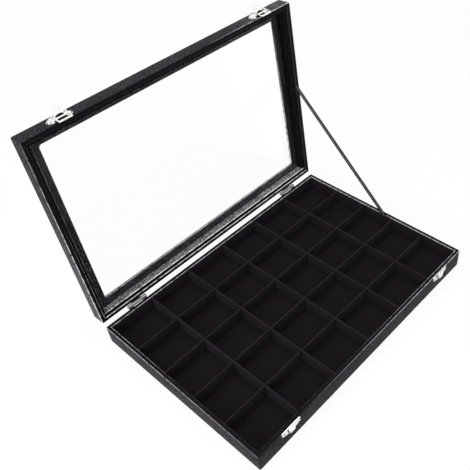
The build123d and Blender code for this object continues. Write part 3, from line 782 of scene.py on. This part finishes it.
glass_flap_gap = 0.06
ground_edge = 0.3
pane = block("glass_with_ground_edges", (-lid_inner_x, lid_inner_x), (-lid_inner_y, lid_inner_y),
             (glass_bottom, glass_top - glass_flap_gap))
round_edges(pane, ground_edge, 2, lambda middle, way: True)
smooth(pane)
open_with_lid(pane)
dress(pane, "lid", glass, "clear_glass", "glass_pane")


# Strips that hold the pane, wrapped in leatherette. The rear one catches the light and is painted paler,
# as a painted highlight; the other three are painted darker, as painted shade.

retainer_rounding = 0.7
retainer_wall_gap = 0.1
# A face lies on a rounding when the upward part of its direction is between these.
rounding_from = 0.1
rounding_to = 0.95


def retainer(name, x, y, material, wear, node):
    """A strip between these faces and from the pane down, its two long lower edges rounded and given a
    painted highlight of the strength asked for. Its lower face is painted dark, as painted shade."""
    strip = block(name, x, y, (retainer_bottom, glass_bottom))
    long_in_x = longer_in_x(x, y)
    round_edges(strip, retainer_rounding, 4, lambda middle, way: level(middle.z, retainer_bottom)
                and lies_along(way.x if long_in_x else way.y))
    fold_highlight = strip.data.attributes.new("fold_highlight", "FLOAT", "FACE")
    pressed_rim_and_shade = strip.data.attributes.new("pressed_rim_and_shade", "FLOAT", "FACE")
    for face in strip.data.polygons:
        # Painted highlight on the rounded edges, painted shade on the lower face.
        fold_highlight.data[face.index].value = wear * float(rounding_from < abs(face.normal.z) < rounding_to)
        pressed_rim_and_shade.data[face.index].value = float(face.normal.z < -rounding_to)
    smooth(strip)
    open_with_lid(strip)
    dress(strip, "lid", material, "black_velvet", node)


retainer_inner_x = lid_inner_x - retainer_width
retainer_inner_y = lid_inner_y - retainer_width
retainer_outer_x = board_inner_x - retainer_wall_gap
retainer_outer_y = board_inner_y - retainer_wall_gap
retainer_run_x = (-retainer_outer_x, retainer_outer_x)
retainer_run_y = (-retainer_inner_y, retainer_inner_y)
retainer("retainer_strip_front", retainer_run_x, (-retainer_outer_y, -retainer_inner_y),
         shaded_strip_leather, 0.0, "front_glass_retainer")
retainer("retainer_strip_rear", retainer_run_x, (retainer_inner_y, retainer_outer_y),
         highlit_strip_leather, 1.0, "rear_glass_retainer")
retainer("retainer_strip_left", (-retainer_outer_x, -retainer_inner_x), retainer_run_y,
         shaded_strip_leather, 0.9, "left_glass_retainer")
retainer("retainer_strip_right", (retainer_inner_x, retainer_outer_x), retainer_run_y,
         shaded_strip_leather, 0.0, "right_glass_retainer")


# Stay ribbon: a flat strap, straight while it holds the lid, its ends tucked in

# From this share of its run on, the ribbon leans outwards, to go in behind the strip on the lid.
tuck_from = 0.93
tuck_outwards = 0.25
run_y = ribbon_lid_end[1] - ribbon_tray_end[1]
run_z = ribbon_lid_end[2] - ribbon_tray_end[2]
run_length = (run_y ** 2 + run_z ** 2) ** 0.5
bpy.ops.object.select_all(action="DESELECT")
bpy.ops.mesh.primitive_grid_add(x_subdivisions=8, y_subdivisions=72, size=2)
ribbon = set_in_place(bpy.context.object, "woven_stay_ribbon",
                      (ribbon_width / 2 * MM, run_length / 2 * MM, 1))
finish_with(ribbon, "SOLIDIFY", thickness=ribbon_thickness * MM, offset=0.0)
# Each corner of the strap goes to its place: across the strap, along its run and through its thickness.
for vertex in ribbon.data.vertices:
    across, along, through = vertex.co
    share = along / (run_length * MM) + 0.5
    tuck = tuck_outwards * max(0.0, (share - tuck_from) / (1 - tuck_from))
    vertex.co = ((ribbon_tray_end[0] + tuck) * MM + through,
                 ribbon_tray_end[1] * MM + run_y * MM * share - across * run_z / run_length,
                 ribbon_tray_end[2] * MM + run_z * MM * share + across * run_y / run_length)
pick(ribbon, "FACE", lambda middle, normal: True)
bpy.ops.mesh.normals_make_consistent(inside=False)
bpy.ops.object.mode_set(mode="OBJECT")
smooth(ribbon)
ribbon.data.materials.append(grosgrain)
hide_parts("stay_ribbon")
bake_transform(ribbon)


# CAD pieces whose shape is right: bare boards, and the pressed and turned metal with its edges eased

pressed_edge = 0.1
turned_edge = 0.06
weld_distance = 0.002


def finish_node(node, material, edge=0.0):
    """Gives a CAD piece its material and, if asked, eased edges."""
    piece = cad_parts[node]
    piece.data.materials.clear()
    piece.data.materials.append(material)
    if edge:
        weld = piece.modifiers.new("weld", "WELD")
        weld.merge_threshold = weld_distance * MM
        ease = piece.modifiers.new("eased_edges", "BEVEL")
        ease.width = edge * MM
        ease.segments = 2
        ease.limit_method = "ANGLE"
        ease.angle_limit = radians(35)


for side in ("front", "rear", "left", "right"):
    finish_node(f"base_{side}_wall", fibreboard)
    # The lid's boards are stained black, because the pane's edges would show them.
    finish_node(f"lid_{side}_wall", stained_fibreboard)
    finish_node(f"lid_{side}_rail", stained_fibreboard)
finish_node("base_floor_panel", fibreboard)
for side in ("left", "right"):
    finish_node(f"{side}_catch_plate", catch_nickel, pressed_edge)
    finish_node(f"{side}_latch_plate", latch_plate_nickel, pressed_edge)
    finish_node(f"{side}_latch_lever", lever_nickel, pressed_edge)
    finish_node(f"{side}_latch_loop", bright_nickel, pressed_edge)
    for fitting in ("hinge_case_leaf", "hinge_lid_leaf"):
        finish_node(f"{side}_{fitting}", dull_zinc, pressed_edge)
    finish_node(f"{side}_latch_loop_pin", bright_nickel, turned_edge)
for fitting in ("latch_lever_pins", "catch_brads", "latch_brads"):
    finish_node(fitting, bright_nickel, turned_edge)
for fitting in ("hinge_pins", "hinge_case_brads", "hinge_lid_brads"):
    finish_node(fitting, dull_zinc, turned_edge)


# Floor, light and camera, with their places in metres

# Near the object the floor shows some shade. Further out it grows as white as the backdrop, so that no line
# parts them.
floor_size = 8.0
floor_drop = 0.05 * MM
white_share_near = 0.88
whitens_from = 0.4
whitens_to = 1.6
floor_material, floor_tree, floor_output, floor_place = new_material("pale_paper_floor")
paint = add_node(floor_tree, "ShaderNodeBsdfDiffuse", {"Color": colour("f4f4f4")})
white = add_node(floor_tree, "ShaderNodeEmission", {"Color": colour("ffffff"), "Strength": 1.0})
floor_ray = add_node(floor_tree, "ShaderNodeLightPath")
straight = add_node(floor_tree, "ShaderNodeMath", {0: floor_ray.outputs["Is Camera Ray"],
                                                   1: floor_ray.outputs["Is Glossy Ray"]},
                    operation="MAXIMUM")
from_middle = add_node(floor_tree, "ShaderNodeVectorMath", {0: floor_place}, operation="LENGTH")
far = add_node(floor_tree, "ShaderNodeMapRange", {
    "Value": from_middle.outputs["Value"], "From Min": whitens_from, "From Max": whitens_to,
    "To Min": white_share_near, "To Max": 1.0})
seen_lift = add_node(floor_tree, "ShaderNodeMath", {0: straight.outputs["Value"], 1: far.outputs["Result"]},
                     operation="MULTIPLY")
lift = add_node(floor_tree, "ShaderNodeMath", {0: floor_ray.outputs["Is Transmission Ray"],
                                               1: seen_lift.outputs["Value"]}, operation="MAXIMUM")
lifted = add_node(floor_tree, "ShaderNodeMixShader", {0: lift.outputs["Value"], 1: paint.outputs["BSDF"],
                                                      2: white.outputs["Emission"]})
floor_tree.links.new(lifted.outputs["Shader"], floor_output.inputs["Surface"])
bpy.ops.object.select_all(action="DESELECT")
bpy.ops.mesh.primitive_plane_add(size=floor_size, location=(0, 0, -floor_drop))
floor = bpy.context.object
floor.name = "floor"
floor.data.materials.append(floor_material)

# The backdrop is white where it is seen, straight, in a reflection or through the pane. What it lights gets
# less than that.
world = bpy.data.worlds.new("studio")
bpy.context.scene.world = world
world.use_nodes = True
world_tree = world.node_tree
world_tree.nodes.clear()
fill = add_node(world_tree, "ShaderNodeBackground", {"Color": colour("ffffff"), "Strength": 0.45})
backdrop = add_node(world_tree, "ShaderNodeBackground", {"Color": colour("ffffff"), "Strength": 1.0})
world_ray = add_node(world_tree, "ShaderNodeLightPath")
world_through = add_node(world_tree, "ShaderNodeMath", {0: world_ray.outputs["Is Camera Ray"],
                                                        1: world_ray.outputs["Is Transmission Ray"]},
                         operation="MAXIMUM")
world_seen = add_node(world_tree, "ShaderNodeMath", {0: world_through.outputs["Value"],
                                                     1: world_ray.outputs["Is Glossy Ray"]},
                      operation="MAXIMUM")
world_mix = add_node(world_tree, "ShaderNodeMixShader", {
    0: world_seen.outputs["Value"], 1: fill.outputs["Background"], 2: backdrop.outputs["Background"]})
add_node(world_tree, "ShaderNodeOutputWorld", {"Surface": world_mix.outputs["Shader"]})


def soft_box(name, place, aim, size, power):
    """A square lamp that faces a point."""
    lamp = bpy.data.lights.new(name, "AREA")
    lamp.shape = "SQUARE"
    lamp.size = size
    lamp.energy = power
    holder = bpy.data.objects.new(name, lamp)
    bpy.context.scene.collection.objects.link(holder)
    holder.location = place
    direction = Vector(aim) - Vector(place)
    holder.rotation_euler = direction.to_track_quat("-Z", "Y").to_euler()


soft_box("overhead_softbox", place=(-0.1, 0.1, 1.5), aim=(0, 0, 0), size=1.4, power=14)
soft_box("left_softbox", place=(-1.3, -0.25, 0.5), aim=(0, 0, 0.05), size=0.8, power=14)
soft_box("front_right_softbox", place=(0.75, -0.7, 0.35), aim=(0.1, -0.1, 0.02), size=0.4, power=1.2)

# The camera's place, turn and lens come from a fit to the photo's straight edges.
camera = bpy.data.cameras.new("camera")
camera.lens = 48.74
camera.sensor_width = 36.0
camera.shift_x = -0.1383
camera.clip_start = 0.02
camera.clip_end = 30.0
camera_holder = bpy.data.objects.new("camera", camera)
bpy.context.scene.collection.objects.link(camera_holder)
camera_holder.location = (-0.3407443, -0.3585681, 0.5813111)
camera_holder.rotation_euler = (radians(46.1587), radians(2.9072), radians(-48.1967))
bpy.context.scene.camera = camera_holder
bpy.context.scene.view_settings.view_transform = "Standard"
